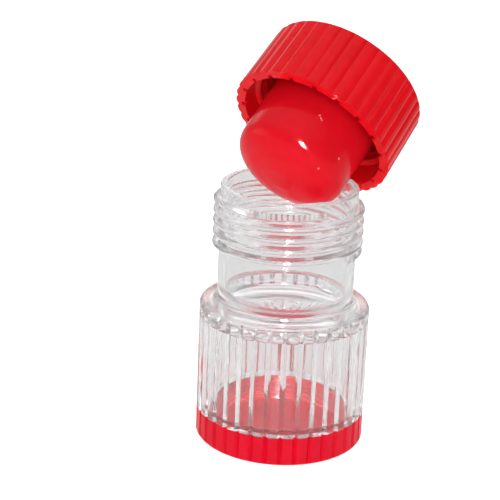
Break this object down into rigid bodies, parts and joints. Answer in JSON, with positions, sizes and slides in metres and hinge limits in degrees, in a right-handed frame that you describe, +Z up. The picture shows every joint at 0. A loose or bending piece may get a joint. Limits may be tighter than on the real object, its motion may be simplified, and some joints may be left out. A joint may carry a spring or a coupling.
{
  "type": "pill crusher",
  "caption": "Screw-cap pill crusher: domed pestle under a fluted cap, clear threaded crushing cup with a dished floor, and a clear fluted storage barrel on a screw-on base cap.",
  "frame": {"origin": "centre of the base cap's flat underside, on the axis of the upright body", "axes": "+Z up along the axis of the barrel and neck; -Y towards the viewer; the propped cap leans to +X and +Y"},
  "size_m": [0.0615, 0.0634, 0.1232],
  "materials": {
    "red_plastic": "moulded gloss red, fluted",
    "cap_red": "moulded gloss red, fluted",
    "pestle_red": "polished red",
    "clear_barrel": "clear moulded plastic",
    "clear_cup": "clear moulded plastic"
  },
  "bodies": {
    "base": {"base_cap": "red_plastic"},
    "cup": {"crushing_cup": "clear_cup"},
    "barrel": {"storage_barrel": "clear_barrel"},
    "press": {"pestle": "pestle_red"},
    "cap": {"screw_cap": "cap_red"}
  },
  "joints": [
    {"name": "cup_raise", "type": "slide", "parent": "base", "child": "cup", "axis": [0, 0, 1], "range_m": [0, 0.0072]},
    {"name": "barrel_turn", "type": "hinge", "parent": "cup", "child": "barrel", "pos_m": [0, 0, 0.02], "axis": [0, 0, 1], "range_deg": [0, 1620]},
    {"name": "cap_lift", "type": "slide", "parent": "cup", "child": "press", "axis": [0.4582, 0.6617, 0.5934], "range_m": [0, 0.05]},
    {"name": "cap_turn", "type": "hinge", "parent": "press", "child": "cap", "pos_m": [0.0053, 0.00635, 0.09123], "axis": [0.4582, 0.6617, 0.5934], "continuous": true}
  ],
  "couplings": [
    {"joint": "cup_raise", "follows": "barrel_turn", "m_per_rad": 0.00025465}
  ]
}
